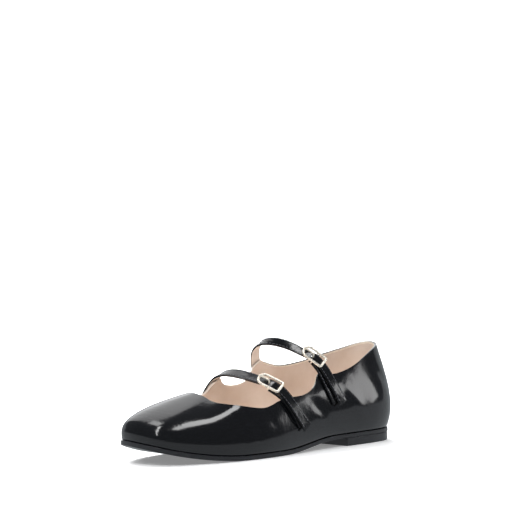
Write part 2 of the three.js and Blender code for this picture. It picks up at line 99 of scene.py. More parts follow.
def linear(hex_colour: str) -> tuple[float, float, float, float]:
    """Turns an sRGB hex colour into a linear one.

    Args:
        hex_colour: six hex digits after a hash sign.

    Returns:
        Red, green, blue and an alpha of one.
    """
    parts = [int(hex_colour[k : k + 2], 16) / 255 for k in (1, 3, 5)]
    red, green, blue = [p / 12.92 if p <= 0.04045 else ((p + 0.055) / 1.055) ** 2.4 for p in parts]
    return red, green, blue, 1.0


def repeats(size_mm: float) -> float:
    """Pattern scale, in repeats per metre, of a feature of this size in millimetres."""
    return 1.0 / (size_mm * MM)


def add_node(tree: NodeTree, kind: str, inputs: dict[str, Setting] | None = None, **settings) -> Node:
    """Adds a shader node with its settings, values and links.

    Args:
        tree: the material's or world's node tree.
        kind: the node's type without the ShaderNode prefix.
        inputs: a value or a socket for each input, by its name or its number.
        **settings: properties of the node itself.

    Returns:
        The new node.
    """
    made = tree.nodes.new("ShaderNode" + kind)
    for key, value in settings.items():
        setattr(made, key, value)
    for key, value in (inputs or {}).items():
        target = made.inputs[int(key)] if key.isdigit() else made.inputs[key]
        if isinstance(value, NodeSocket):
            tree.links.new(value, target)
        else:
            target.default_value = value
    return made


def new_material(name: str) -> tuple[Material, NodeTree, NodeSocket, NodeSocket]:
    """Makes a node material with only an output and Object coordinates.

    Args:
        name: the material's name.

    Returns:
        The material, its tree, the output's surface socket and the coordinates.
    """
    material = bpy.data.materials.new(name)
    material.use_nodes = True
    tree = material.node_tree
    tree.nodes.clear()
    surface = add_node(tree, "OutputMaterial").inputs["Surface"]
    return material, tree, surface, add_node(tree, "TexCoord").outputs["Object"]


def place(name: str, mesh: Mesh, materials: Iterable[Material]) -> Object:
    """Links a mesh as an object at the origin and gives it its materials.

    Args:
        name: the piece's name.
        mesh: its mesh, already in place.
        materials: its materials, in the order of the faces' indices.

    Returns:
        The new object.
    """
    piece = bpy.data.objects.new(name, mesh)
    bpy.context.scene.collection.objects.link(piece)
    for material in materials:
        mesh.materials.append(material)
    return piece


def to_mesh(bm: BMesh, name: str) -> Mesh:
    """Writes a bmesh to a new smooth-shaded mesh and frees it.

    Args:
        bm: the bmesh.
        name: the mesh's name.

    Returns:
        The mesh.
    """
    for face in bm.faces:
        face.smooth = True
    mesh = bpy.data.meshes.new(name)
    bm.to_mesh(mesh)
    bm.free()
    return mesh


def round_edges(bm: BMesh, edges: Iterable[BMEdge], radius: float, segments: int = 3) -> list[BMFace]:
    """Rounds some edges, as turned leather and moulded rubber have them.

    Args:
        bm: the bmesh.
        edges: the edges to round.
        radius: how far the rounding reaches.
        segments: how many faces it has across.

    Returns:
        The rounding's faces.
    """
    result = bmesh.ops.bevel(
        bm,
        geom=list(edges),
        offset=radius,
        segments=segments,
        profile=0.5,
        affect="EDGES",
        material=-1,
        clamp_overlap=True,
    )
    return result["faces"]


def subdivided(mesh: Mesh, levels: int) -> Mesh:
    """Returns the mesh after Catmull-Clark subdivision.

    Args:
        mesh: the mesh to refine, which is removed.
        levels: how many times it is divided.

    Returns:
        The finer mesh.
    """
    holder = bpy.data.objects.new("refining", mesh)
    bpy.context.scene.collection.objects.link(holder)
    modifier = holder.modifiers.new("refine", "SUBSURF")
    modifier.levels = levels
    modifier.render_levels = levels
    modifier.boundary_smooth = "PRESERVE_CORNERS"
    seen = holder.evaluated_get(bpy.context.evaluated_depsgraph_get())
    fine = bpy.data.meshes.new_from_object(seen)
    fine.name = mesh.name + "_fine"
    bpy.data.objects.remove(holder)
    return fine


def tube(name: str, points: list[Vector], radius: float, closed: bool) -> Mesh:
    """A round wire through some points.

    Args:
        name: the mesh's name.
        points: the wire's middle line.
        radius: the wire's radius.
        closed: whether the wire joins its own start.

    Returns:
        The wire's mesh, with rounded ends if it is open.
    """
    curve = bpy.data.curves.new(name, "CURVE")
    curve.dimensions = "3D"
    curve.bevel_depth = radius
    curve.bevel_resolution = 4
    curve.use_fill_caps = not closed
    spline = curve.splines.new("POLY")
    spline.points.add(len(points) - 1)
    for target, point in zip(spline.points, points):
        target.co = (*point, 1.0)
    spline.use_cyclic_u = closed
    holder = bpy.data.objects.new(name, curve)
    bpy.context.scene.collection.objects.link(holder)
    mesh = bpy.data.meshes.new_from_object(holder.evaluated_get(bpy.context.evaluated_depsgraph_get()))
    bpy.data.objects.remove(holder)
    bm = bmesh.new()
    bm.from_mesh(mesh)
    bmesh.ops.remove_doubles(bm, verts=bm.verts, dist=MERGE_DISTANCE)
    bmesh.ops.recalc_face_normals(bm, faces=bm.faces)
    return to_mesh(bm, name)


def ride_and_replace(piece: Object, node: str) -> None:
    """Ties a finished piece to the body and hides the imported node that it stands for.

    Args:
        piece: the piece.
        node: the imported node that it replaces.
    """
    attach(piece, BODY)
    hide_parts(node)


def smooth_line(points: list[Vector], per_span: int) -> list[Vector]:
    """Catmull-Rom points through an open line of control points.

    Args:
        points: the control points.
        per_span: how many points replace each span.

    Returns:
        The smoothed line, both ends kept.
    """
    ends = [points[0] * 2 - points[1], *points, points[-1] * 2 - points[-2]]
    line = []
    for a, b, c, d in zip(ends, ends[1:], ends[2:], ends[3:]):
        square = 2 * a - 5 * b + 4 * c - d
        cube = 3 * b - a - 3 * c + d
        for step in range(per_span):
            t = step / per_span
            line.append(0.5 * (2 * b + (c - a) * t + square * t**2 + cube * t**3))
    return [*line, points[-1]]


# ---- finishes


@dataclass(frozen=True)
class PatentLeather:
    """Coated calf: a dyed hide under a poured polyurethane film.

    The film mirrors the studio; the hide under it gives soft waves, and lasting gives fine crinkles
    that fray the edges of each reflection.
    """

    name: str
    colour: str = "#08090B"
    roughness: float = 0.1
    wave_mm: float = 13.0
    wave_depth_mm: float = 0.16
    crinkle_mm: float = 1.7  # real crinkles are nearer 1 mm, drawn coarser so that they show
    crinkle_depth_mm: float = 0.032
    pleat_mm: tuple[float, float, float] = (1.5, 9.0, 9.0)
    pleat_depth_mm: float = 0.12
    pleated_share: tuple[float, float] = (0.47, 0.66)  # pleats fade in over this much of the patches

    def build(self) -> Material:
        """Makes the material.

        Returns:
            The material.
        """
        material, tree, surface, place_at = new_material(self.name)
        waves = add_node(tree, "TexNoise", {
            "Vector": place_at, "Scale": repeats(self.wave_mm), "Detail": 1.5, "Roughness": 0.4})
        crinkle = add_node(tree, "TexNoise", {
            "Vector": place_at, "Scale": repeats(self.crinkle_mm), "Detail": 3.0, "Roughness": 0.55})
        stretched = add_node(tree, "Mapping", {
            "Vector": place_at, "Scale": tuple(repeats(size) for size in self.pleat_mm)})
        pleats = add_node(tree, "TexNoise", {"Vector": stretched.outputs[0], "Scale": 1.0, "Detail": 2.0})
        patches = add_node(tree, "TexNoise", {
            "Vector": place_at, "Scale": repeats(5 * self.wave_mm), "Detail": 1.0})
        low, high = self.pleated_share
        creased = add_node(tree, "MapRange", {
            "Value": patches.outputs["Fac"], "From Min": low, "From Max": high}, clamp=True)
        pleated = add_node(tree, "Math", {
            "0": pleats.outputs["Fac"], "1": creased.outputs["Result"]}, operation="MULTIPLY")
        normal: dict[str, Setting] = {}
        for height, depth_mm in (
            (waves.outputs["Fac"], self.wave_depth_mm),
            (pleated.outputs["Value"], self.pleat_depth_mm),
            (crinkle.outputs["Fac"], self.crinkle_depth_mm),
        ):
            bump = add_node(tree, "Bump", {
                "Height": height, "Distance": depth_mm * MM, "Strength": 1.0, **normal})
            normal = {"Normal": bump.outputs["Normal"]}
        haze = add_node(tree, "MapRange", {
            "Value": patches.outputs["Fac"], "From Min": NOISE_LOW, "From Max": NOISE_HIGH,
            "To Min": 0.7 * self.roughness, "To Max": 1.5 * self.roughness})
        shader = add_node(tree, "BsdfPrincipled", {
            "Base Color": linear(self.colour), "Roughness": haze.outputs["Result"], "IOR": 1.48,
            "Coat Weight": 0.25, "Coat Roughness": 0.03, **normal})
        tree.links.new(shader.outputs["BSDF"], surface)
        return material


@dataclass(frozen=True)
class GrainLeather:
    """Vegetable-tanned lining: uncoated, dry and matte, with a fine pore and a slight cloudiness."""

    name: str
    light: str
    dark: str
    pore_mm: float = 0.7  # real pores are a third of this, drawn coarser so that they show
    pore_depth_mm: float = 0.03
    cloud_mm: float = 16.0
    roughness: float = 0.72

    def build(self) -> Material:
        """Makes the material.

        Returns:
            The material.
        """
        material, tree, surface, place_at = new_material(self.name)
        clouds = add_node(tree, "TexNoise", {
            "Vector": place_at, "Scale": repeats(self.cloud_mm), "Detail": 4.0, "Roughness": 0.6})
        pores = add_node(tree, "TexVoronoi", {"Vector": place_at, "Scale": repeats(self.pore_mm)})
        grain = add_node(tree, "TexNoise", {
            "Vector": place_at, "Scale": repeats(3 * self.pore_mm), "Detail": 5.0})
        ramp = add_node(tree, "MapRange", {
            "Value": clouds.outputs["Fac"], "From Min": NOISE_LOW, "From Max": NOISE_HIGH})
        tint = add_node(tree, "Mix", {
            "0": ramp.outputs["Result"], "6": linear(self.dark), "7": linear(self.light)}, data_type="RGBA")
        height = add_node(tree, "Math", {
            "0": pores.outputs["Distance"], "1": grain.outputs["Fac"]}, operation="ADD")
        bump = add_node(tree, "Bump", {
            "Height": height.outputs["Value"], "Distance": self.pore_depth_mm * MM, "Strength": 0.8})
        shader = add_node(tree, "BsdfPrincipled", {
            "Base Color": tint.outputs[2], "Roughness": self.roughness, "IOR": 1.45,
            "Sheen Weight": 0.12, "Normal": bump.outputs["Normal"]})
        tree.links.new(shader.outputs["BSDF"], surface)
        return material


@dataclass(frozen=True)
class MouldedRubber:
    """Injection-moulded thermoplastic rubber with a trimmed and inked edge: satin, finely grained."""

    colour: str = "#1C1D20"
    roughness: float = 0.34
    grain_mm: float = 0.9
    grain_depth_mm: float = 0.02
    trim_mm: float = 14.0

    def build(self) -> Material:
        """Makes the material.

        Returns:
            The material.
        """
        material, tree, surface, place_at = new_material("thermoplastic_rubber_moulded")
        grain = add_node(tree, "TexNoise", {
            "Vector": place_at, "Scale": repeats(self.grain_mm), "Detail": 4.0})
        trim = add_node(tree, "TexNoise", {
            "Vector": place_at, "Scale": repeats(self.trim_mm), "Detail": 2.0})
        satin = add_node(tree, "MapRange", {
            "Value": trim.outputs["Fac"], "From Min": NOISE_LOW, "From Max": NOISE_HIGH,
            "To Min": 0.8 * self.roughness, "To Max": 1.25 * self.roughness})
        bump = add_node(tree, "Bump", {
            "Height": grain.outputs["Fac"], "Distance": self.grain_depth_mm * MM, "Strength": 0.7})
        shader = add_node(tree, "BsdfPrincipled", {
            "Base Color": linear(self.colour), "Roughness": satin.outputs["Result"], "IOR": 1.5,
            "Normal": bump.outputs["Normal"]})
        tree.links.new(shader.outputs["BSDF"], surface)
        return material


@dataclass(frozen=True)
class PaleGoldPlate:
    """Die-cast zinc, plated in pale gold under a clear lacquer: bright and milky, faintly hazed."""

    colour: str = "#FFF7E8"
    metallic: float = 0.62
    roughness: float = 0.28
    haze_mm: float = 2.5
    ripple_depth_mm: float = 0.01

    def build(self) -> Material:
        """Makes the material.

        Returns:
            The material.
        """
        material, tree, surface, place_at = new_material("zinc_polished_gold_plated")
        haze = add_node(tree, "TexNoise", {
            "Vector": place_at, "Scale": repeats(self.haze_mm), "Detail": 3.0})
        polish = add_node(tree, "MapRange", {
            "Value": haze.outputs["Fac"], "From Min": NOISE_LOW, "From Max": NOISE_HIGH,
            "To Min": 0.6 * self.roughness, "To Max": 1.4 * self.roughness})
        bump = add_node(tree, "Bump", {
            "Height": haze.outputs["Fac"], "Distance": self.ripple_depth_mm * MM, "Strength": 0.6})
        shader = add_node(tree, "BsdfPrincipled", {
            "Base Color": linear(self.colour), "Metallic": self.metallic,
            "Roughness": polish.outputs["Result"], "Normal": bump.outputs["Normal"]})
        tree.links.new(shader.outputs["BSDF"], surface)
        return material


@dataclass(frozen=True)
class WaxedThread:
    """Bonded polyester sewing thread: twisted, waxed and slightly shiny."""

    colour: str = "#4A4B4F"
    roughness: float = 0.35
    twist_mm: float = 0.5
    twist_depth_mm: float = 0.04

    def build(self) -> Material:
        """Makes the material.

        Returns:
            The material.
        """
        material, tree, surface, place_at = new_material("polyester_thread_waxed")
        twist = add_node(tree, "TexWave", {
            "Vector": place_at, "Scale": repeats(self.twist_mm) / (2 * math.pi), "Distortion": 1.5})
        bump = add_node(tree, "Bump", {
            "Height": twist.outputs["Fac"], "Distance": self.twist_depth_mm * MM, "Strength": 0.6})
        shader = add_node(tree, "BsdfPrincipled", {
            "Base Color": linear(self.colour), "Roughness": self.roughness, "IOR": 1.5,
            "Normal": bump.outputs["Normal"]})
        tree.links.new(shader.outputs["BSDF"], surface)
        return material


@dataclass(frozen=True)
class StudioPaper:
    """Rolled background paper: matte white, evenly lit, with a faint fibre.

    For mirrored rays the paper shows only a dim bluish glow, a painted reflection that keeps the white
    paper from greying the patent.
    """

    colour: str = "#F6F6F6"
    lift: float = 0.22
    # strength and tint of the painted reflection that mirrored rays see in place of the paper
    painted_reflection_glow: float = 0.58
    painted_reflection_tint: tuple[float, float, float, float] = (0.9, 0.95, 1.0, 1.0)
    fibre_mm: float = 4.0
    fibre_depth_mm: float = 0.05

    def build(self) -> Material:
        """Makes the material.

        Returns:
            The material.
        """
        material, tree, surface, place_at = new_material("background_paper_rolled")
        fibre = add_node(tree, "TexNoise", {
            "Vector": place_at, "Scale": repeats(self.fibre_mm), "Detail": 2.0})
        bump = add_node(tree, "Bump", {
            "Height": fibre.outputs["Fac"], "Distance": self.fibre_depth_mm * MM, "Strength": 0.2})
        shader = add_node(tree, "BsdfPrincipled", {
            "Base Color": linear(self.colour), "Roughness": 0.9, "Specular IOR Level": 0.1,
            "Emission Color": linear("#FFFFFF"), "Emission Strength": self.lift,
            "Normal": bump.outputs["Normal"]})
        # mirrored rays see this dim bluish glow instead of the white paper: a painted reflection
        dim = add_node(tree, "Emission", {"Color": self.painted_reflection_tint, "Strength": self.painted_reflection_glow})
        rays = add_node(tree, "LightPath")
        seen = add_node(tree, "MixShader", {
            "0": rays.outputs["Is Glossy Ray"], "1": shader.outputs["BSDF"], "2": dim.outputs["Emission"]})
        tree.links.new(seen.outputs["Shader"], surface)
        return material


@dataclass(frozen=True)
class Wardrobe:
    """All the shoe's materials, made once."""

    patent: Material
    strap_patent: Material
    lining: Material
    cut_edge: Material
    sock: Material
    rubber: Material
    gold: Material
    thread: Material

    @staticmethod
    def build() -> "Wardrobe":
        """Makes every finish of the shoe.

        Returns:
            The finishes.
        """
        return Wardrobe(
            patent=PatentLeather("patent_leather_poured_film").build(),
            strap_patent=PatentLeather("patent_leather_bent", wave_mm=5.0, crinkle_depth_mm=0.1).build(),
            lining=GrainLeather("lining_leather_tanned", "#E5D8CD", "#DBCBBD").build(),
            cut_edge=GrainLeather("lining_leather_cut_edge", "#F4ECE0", "#ECDFCF", cloud_mm=6.0).build(),
            sock=GrainLeather("sock_leather_pressed", "#E6D3C3", "#DCC5B3", cloud_mm=24.0).build(),
            rubber=MouldedRubber().build(),
            gold=PaleGoldPlate().build(),
            thread=WaxedThread().build(),
        )


# ---- work on the model's shells


@dataclass
class Shell:
    """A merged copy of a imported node, with its four-cornered patches restored.

    Attributes:
        node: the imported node's name.
        axis_height: height of the line along the shoe that outer faces turn away from.
        bm: the merged copy.
    """

    node: str
    axis_height: float = 22 * MM
    bm: BMesh = field(default_factory=bmesh.new)

    def load(self) -> "Shell":
        """Copies the node's mesh, merges it and joins its triangles into patches.

        Returns:
            This shell.
        """
        self.bm.from_mesh(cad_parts[self.node].data)
        bmesh.ops.remove_doubles(self.bm, verts=self.bm.verts, dist=MERGE_DISTANCE)
        diagonals = [edge for edge in self.bm.edges if self._is_diagonal(edge)]
        bmesh.ops.dissolve_edges(self.bm, edges=diagonals, use_verts=False)
        self.bm.edges.index_update()
        odd = sum(len(face.verts) != 4 for face in self.bm.faces)
        LOG.info("%s: %d patches, %d of them not four-cornered", self.node, len(self.bm.faces), odd)
        return self

    @staticmethod
    def _is_diagonal(edge: BMEdge) -> bool:
        """Finds whether an edge only splits a patch in two.

        Args:
            edge: an edge of the merged mesh.

        Returns:
            Whether it is the longest side of both its triangles, and nearly flat.
        """
        if len(edge.link_faces) != 2 or edge.calc_face_angle() > FLAT_ANGLE:
            return False
        limit = edge.calc_length() * SAME_LENGTH
        return all(
            len(face.verts) == 3 and all(other.calc_length() <= limit for other in face.edges)
            for face in edge.link_faces
        )

    def sharp_edges(self) -> set[BMEdge]:
        """Edges where the shell turns sharply."""
        return {edge for edge in self.bm.edges if edge.calc_face_angle(0.0) > SHARP_ANGLE}

    def regions(self) -> list[list[BMFace]]:
        """Groups the faces into stretches bounded by sharp edges.

        Returns:
            The groups, the largest first.
        """
        sharp = self.sharp_edges()
        waiting = set(self.bm.faces)
        found = []
        for seed in self.bm.faces:
            if seed not in waiting:
                continue
            waiting.remove(seed)
            group = [seed]
            for face in group:
                for edge in face.edges:
                    if edge in sharp:
                        continue
                    for other in edge.link_faces:
                        if other in waiting:
                            waiting.remove(other)
                            group.append(other)
            found.append(group)
        return sorted(found, key=lambda group: -sum(face.calc_area() for face in group))

    def facing(self, group: list[BMFace]) -> float:
        """Measures how far a group of faces turns outwards from the shoe's middle line.

        Args:
            group: the faces.

        Returns:
            From -1, all inwards, to 1, all outwards.
        """
        total = 0.0
        area = 0.0
        for face in group:
            middle = face.calc_center_median()
            away = (middle - Vector((middle.x, 0.0, self.axis_height))).normalized()
            total += away.dot(face.normal) * face.calc_area()
            area += face.calc_area()
        return total / area


def longest_loop(edges: Iterable[BMEdge]) -> list[BMVert]:
    """Orders the vertices of the longest closed loop among some edges.

    Args:
        edges: edges that form one or more closed loops.

    Returns:
        The loop's vertices, the first one not repeated.
    """
    left = set(edges)
    longest: list[BMVert] = []
    while left:
        edge = min(left, key=lambda one: one.index)
        left.remove(edge)
        loop = [edge.verts[0], edge.verts[1]]
        while following := next((other for other in loop[-1].link_edges if other in left), None):
            left.remove(following)
            loop.append(following.other_vert(loop[-1]))
        if len(loop) > len(longest):
            longest = loop
    return longest[:-1]


# ---- the upper


@dataclass(frozen=True)
class Crease:
    """A soft trough in the outer skin, as a line in the side view.

    Attributes:
        start: share of the shoe's length from the heel, and height in millimetres.
        end: the same, for the other end.
        side: 1 for the outer side, -1 for the inner side.
        depth_mm: how deep the trough is; a negative depth makes a ridge.
        width_mm: half its width.
        reach: how many half widths away the skin is flat again.
        shoulder: how high the skin rises beside the trough, as a share of its depth.
        end_depth: how much of the trough's arch is cut off at each end.
    """

    start: tuple[float, float]
    end: tuple[float, float]
    side: int
    depth_mm: float
    width_mm: float
    reach: ClassVar[float] = 3.0
    shoulder: ClassVar[float] = 0.9
    end_depth: ClassVar[float] = 0.08

    def sink(self, at: Vector) -> float:
        """Measures how far the skin sinks at a point.

        Args:
            at: a point of the skin.

        Returns:
            The depth, in metres.
        """
        if at.y * self.side < 0:
            return 0.0
        low, high = CAD_BOX
        length = high.x - low.x
        first = Vector((low.x + self.start[0] * length, self.start[1] * MM))
        last = Vector((low.x + self.end[0] * length, self.end[1] * MM))
        here = Vector((at.x, at.z))
        along = last - first
        share = min(1.0, max(0.0, (here - first).dot(along) / along.length_squared))
        away = (here - first - along * share).length / (self.width_mm * MM)
        if away > self.reach:
            return 0.0
        taper = math.sin(math.pi * (self.end_depth + (1 - 2 * self.end_depth) * share))
        return self.depth_mm * MM * taper * (1 - self.shoulder * away**2) * math.exp(-(away**2))


@dataclass
class Upper:
    """The hollow upper: patent outside, tan lining inside, a folded black edge with a cream cut edge.

    Attributes:
        finishes: the shoe's materials.
        covered: points along the straps, whose lining runs on over the inner tabs' ends.
        fold: radius of the folded topline.
        tab_reach: how far from those points a tab's end is lined.
        turned_over: how far up an edge face looks before the black fold covers it.
        seat: how far the lasted margin is drawn down on to the sole.
        tab_look: how far inwards a face of the outer skin may look and still count as a tab's end.
        levels: how often the wall is refined.
        creases: the troughs and ridges that wear and lasting leave.
    """

    finishes: Wardrobe
    covered: list[Vector]
    fold: float = 0.5 * MM
    tab_reach: float = 7.5 * MM
    turned_over: float = 0.55
    seat: float = 0.5 * MM
    tab_look: float = -0.6
    levels: int = 2
    creases: tuple[Crease, ...] = (
        Crease((0.66, 14), (0.70, 31), 1, 0.28, 4.5),
        Crease((0.715, 12), (0.735, 30), 1, 0.2, 4.0),
        Crease((0.60, 20), (0.63, 34), 1, 0.22, 5.0),
        Crease((0.70, 36), (0.76, 44), 1, 0.15, 3.5),
        Crease((0.36, 24), (0.43, 36), 1, 0.35, 6.0),
        Crease((0.20, 20), (0.27, 50), 1, -0.3, 8.0),
        Crease((0.05, 40), (0.13, 62), 1, 0.22, 5.0),
        Crease((0.64, 14), (0.70, 32), -1, 0.3, 4.5),
        Crease((0.70, 12), (0.735, 30), -1, 0.22, 4.0),
        Crease((0.40, 22), (0.46, 42), -1, 0.35, 6.0),
        Crease((0.12, 30), (0.2, 56), -1, -0.25, 8.0),
    )

    def build(self) -> Object:
        """Builds and dresses the upper.

        Returns:
            The upper's object.
        """
        shell = Shell("upper").load()
        bm = shell.bm
        groups = shell.regions()
        outer = next(group for group in groups[:2] if shell.facing(group) > 0)
        inner = next(group for group in groups[:2] if shell.facing(group) < 0)
        feather = groups[2]
        skins = set(outer) | set(inner) | set(feather)
        for face in bm.faces:
            face.material_index = Skin.LINING
        for face in (*outer, *feather):
            face.material_index = Skin.PATENT
        for vert in {vert for face in feather for vert in face.verts}:
            vert.co.z -= self.seat
        self._bind_edge(bm, set(outer), set(inner), [face for face in bm.faces if face not in skins])
        mesh = subdivided(to_mesh(bm, "upper_wall"), self.levels)
        self._press_creases(mesh)
        finishes = self.finishes
        piece = place("upper_leather", mesh, [finishes.patent, finishes.lining, finishes.cut_edge])
        ride_and_replace(piece, "upper")
        return piece

    def _bind_edge(self, bm: BMesh, outer: set, inner: set, rim: list[BMFace]) -> None:
        """Rounds the topline: black leather folded over it, and the lining's pale cut edge inside.

        Args:
            bm: the upper.
            outer: its outer faces.
            inner: its lining faces.
            rim: the faces of the topline's edge.
        """
        lines = {}
        for name, skin in (("outer", outer), ("inner", inner)):
            around = {edge for face in rim for edge in face.edges}
            lines[name] = {edge for edge in around if any(face in skin for face in edge.link_faces)}
        near = {name: self._scatter(edges) for name, edges in lines.items()}
        for face in rim:
            face.material_index = Skin.PATENT
        for face in round_edges(bm, lines["outer"] | lines["inner"], self.fold):
            middle = face.calc_center_median()
            inside = near["inner"].find(middle)[2] < near["outer"].find(middle)[2]
            pale = inside and face.normal.z < self.turned_over
            face.material_index = Skin.CUT_EDGE if pale else Skin.PATENT
        for face in bm.faces:
            middle = face.calc_center_median()
            if face.material_index == Skin.LINING or middle.y > 0 or face.normal.y < self.tab_look:
                continue
            if min((middle - point).length for point in self.covered) < self.tab_reach:
                face.material_index = Skin.LINING

    @staticmethod
    def _scatter(edges: Iterable[BMEdge]) -> KDTree:
        """Spreads points along some edges.

        Args:
            edges: the edges.

        Returns:
            The points, ready to be searched.
        """
        spans = 4
        points = [e.verts[0].co.lerp(e.verts[1].co, k / spans) for e in edges for k in range(spans + 1)]
        tree = KDTree(len(points))
        for number, point in enumerate(points):
            tree.insert(point, number)
        tree.balance()
        return tree

    def _press_creases(self, mesh: Mesh) -> None:
        """Presses the creases into the patent skin.

        Args:
            mesh: the refined wall.
        """
        bm = bmesh.new()
        bm.from_mesh(mesh)
        bm.normal_update()
        moves = {}
        for vert in bm.verts:
            if all(face.material_index == Skin.PATENT for face in vert.link_faces):
                sink = sum(crease.sink(vert.co) for crease in self.creases)
                moves[vert] = vert.normal * -sink
        for vert, move in moves.items():
            vert.co += move
        bm.to_mesh(mesh)
        bm.free()


# ---- straps


@dataclass
class Rung:
    """One line across a band's upper face, from its one edge to the other."""

    left: Vector
    right: Vector
    up: Vector

    def at(self, share: float, lift: float = 0.0) -> Vector:
        """A point across the band, raised from its face."""
        return self.left.lerp(self.right, share) + self.up * lift


@dataclass
class Stitching:
    """Rows of thread stitches, joined as one piece.

    Attributes:
        name: the piece's name.
        finishes: the shoe's materials.
        length: length of one stitch.
        gap: between two stitches.
        radius: half the thread's thickness.
        bm: the stitches laid so far.
    """

    name: str
    finishes: Wardrobe
    length: float = 2.1 * MM
    gap: float = 0.55 * MM
    radius: float = 0.3 * MM
    bm: BMesh = field(default_factory=bmesh.new)

    def sew(self, line: list[Vector]) -> None:
        """Lays stitches end to end along a line.

        Args:
            line: points of the seam, on the leather.
        """
        reach = 0.0
        pitch = self.length + self.gap
        start = self.gap
        for first, last in zip(line, line[1:]):
            span = last - first
            while start + self.length / 2 < reach + span.length:
                share = (start + self.length / 2 - reach) / span.length
                if share >= 0:
                    self._stitch(first.lerp(last, share), span.normalized())
                start += pitch
            reach += span.length

    def _stitch(self, middle: Vector, along: Vector) -> None:
        """Adds one stitch: a long low bead.

        Args:
            middle: its middle.
            along: the seam's direction there.
        """
        turn = along.to_track_quat("X", "Z").to_matrix().to_4x4()
        stretch = Matrix.Diagonal((self.length / 2, self.radius, self.radius, 1.0))
        laid = Matrix.Translation(middle) @ turn @ stretch
        bmesh.ops.create_uvsphere(self.bm, u_segments=8, v_segments=6, radius=1.0, matrix=laid)

    def finish(self) -> Object:
        """Joins the stitches into a piece.


        Returns:
            The stitches' object.
        """
        piece = place(self.name, to_mesh(self.bm, self.name), [self.finishes.thread])
        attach(piece, BODY)
        return piece


@dataclass
class Band:
    """A strap: patent above, lining below, with turned edges and a row of stitches along each.

    Attributes:
        node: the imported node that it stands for.
        finishes: the shoe's materials.
        backing: the finish of its underside.
        edge: radius of its turned edges.
        seam_inset: from its edge to the stitches, as a share of its width.
        levels: how often it is refined.
        rungs: lines across its upper face, read while it is built.
    """

    node: str
    finishes: Wardrobe
    backing: Material
    edge: float = 0.42 * MM
    seam_inset: float = 0.13
    levels: int = 2
    rungs: list[Rung] = field(default_factory=list)

    def build(self) -> Object:
        """Builds and dresses the band, and keeps its rungs for the stitches.

        Returns:
            The band's object.
        """
        shell = Shell(self.node).load()
        bm = shell.bm
        groups = shell.regions()[:2]
        top = max(groups, key=shell.facing)
        bottom = min(groups, key=shell.facing)
        for face in bm.faces:
            face.material_index = Skin.PATENT
        for face in bottom:
            face.material_index = Skin.LINING
        self.rungs = self._read_rungs(set(top))
        round_edges(bm, shell.sharp_edges(), self.edge, segments=2)
        mesh = subdivided(to_mesh(bm, self.node + "_band"), self.levels)
        piece = place(self.node + "_leather", mesh, [self.finishes.strap_patent, self.backing])
        ride_and_replace(piece, self.node)
        return piece

    @staticmethod
    def _read_rungs(inside: set[BMFace]) -> list[Rung]:
        """Reads a rung for every line across the band, from one end to the other.

        Args:
            inside: the upper face's patches.

        Returns:
            The rungs, in order.
        """
        border = {e for face in inside for e in face.edges if sum(f in inside for f in e.link_faces) == 1}
        loop = longest_loop(border)
        count = len(loop)
        corners = []
        for k, vert in enumerate(loop):
            before = vert.co - loop[k - 1].co
            after = loop[(k + 1) % count].co - vert.co
            if before.angle(after) > CORNER_ANGLE:
                corners.append(k)
        sides = []
        for first, last in zip(corners, [*corners[1:], corners[0] + count]):
            sides.append([loop[k % count] for k in range(first, last + 1)])
        left, right = sorted(sides, key=len)[-2:]
        rungs = []
        for one, other in zip(left, reversed(right)):
            up = sum((face.normal for face in one.link_faces if face in inside), Vector())
            rungs.append(Rung(one.co.copy(), other.co.copy(), up.normalized()))
        return rungs

    def seam(self, side: int, first: float, last: float, lift: float = 0.1 * MM) -> list[Vector]:
        """A seam line along one edge of the band.

        Args:
            side: 0 or 1 for the one or the other edge.
            first: where it starts, as a share of the rungs.
            last: where it ends.
            lift: its height over the leather.

        Returns:
            The line's points.
        """
        share = self.seam_inset if side == 0 else 1 - self.seam_inset
        low = round(first * (len(self.rungs) - 1))
        high = round(last * (len(self.rungs) - 1))
        return [rung.at(share, lift) for rung in self.rungs[low : high + 1]]


# ---- buckles


